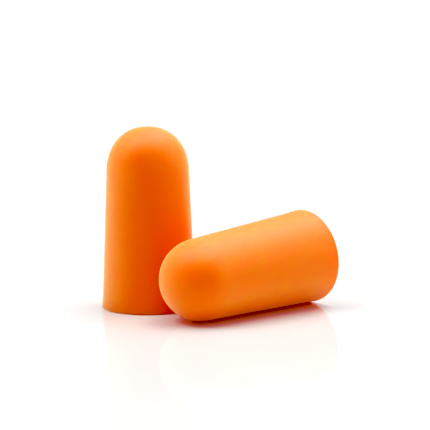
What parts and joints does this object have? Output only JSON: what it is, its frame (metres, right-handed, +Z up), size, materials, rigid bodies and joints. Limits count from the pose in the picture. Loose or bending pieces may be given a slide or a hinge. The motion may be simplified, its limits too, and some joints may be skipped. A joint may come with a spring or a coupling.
{
  "type": "foam ear plugs",
  "caption": "Tapered soft foam ear plugs with domed noses and flat, slightly flared bases, standing and lying side by side; squeezed thin, they expand to seal the ear canal.",
  "frame": {"origin": "centre of the standing plug's flat base, on the plane that both plugs rest on", "axes": "+Z up along the standing plug's axis from its base to its nose, +X towards the lying plug's base, +Y to the far side, away from the viewer; the lying plug's nose points towards -X and -Y"},
  "size_m": [0.0316, 0.0224, 0.0241],
  "materials": {
    "orange_foam": "matte"
  },
  "bodies": {
    "standing_plug": {"standing_ear_plug": "orange_foam"},
    "lying_plug": {"lying_ear_plug": "orange_foam"}
  },
  "joints": [
    {"name": "lift_lying_plug", "type": "slide", "parent": "standing_plug", "child": "lying_plug", "axis": [0, 0, 1], "range_m": [0, 0.03]}
  ]
}
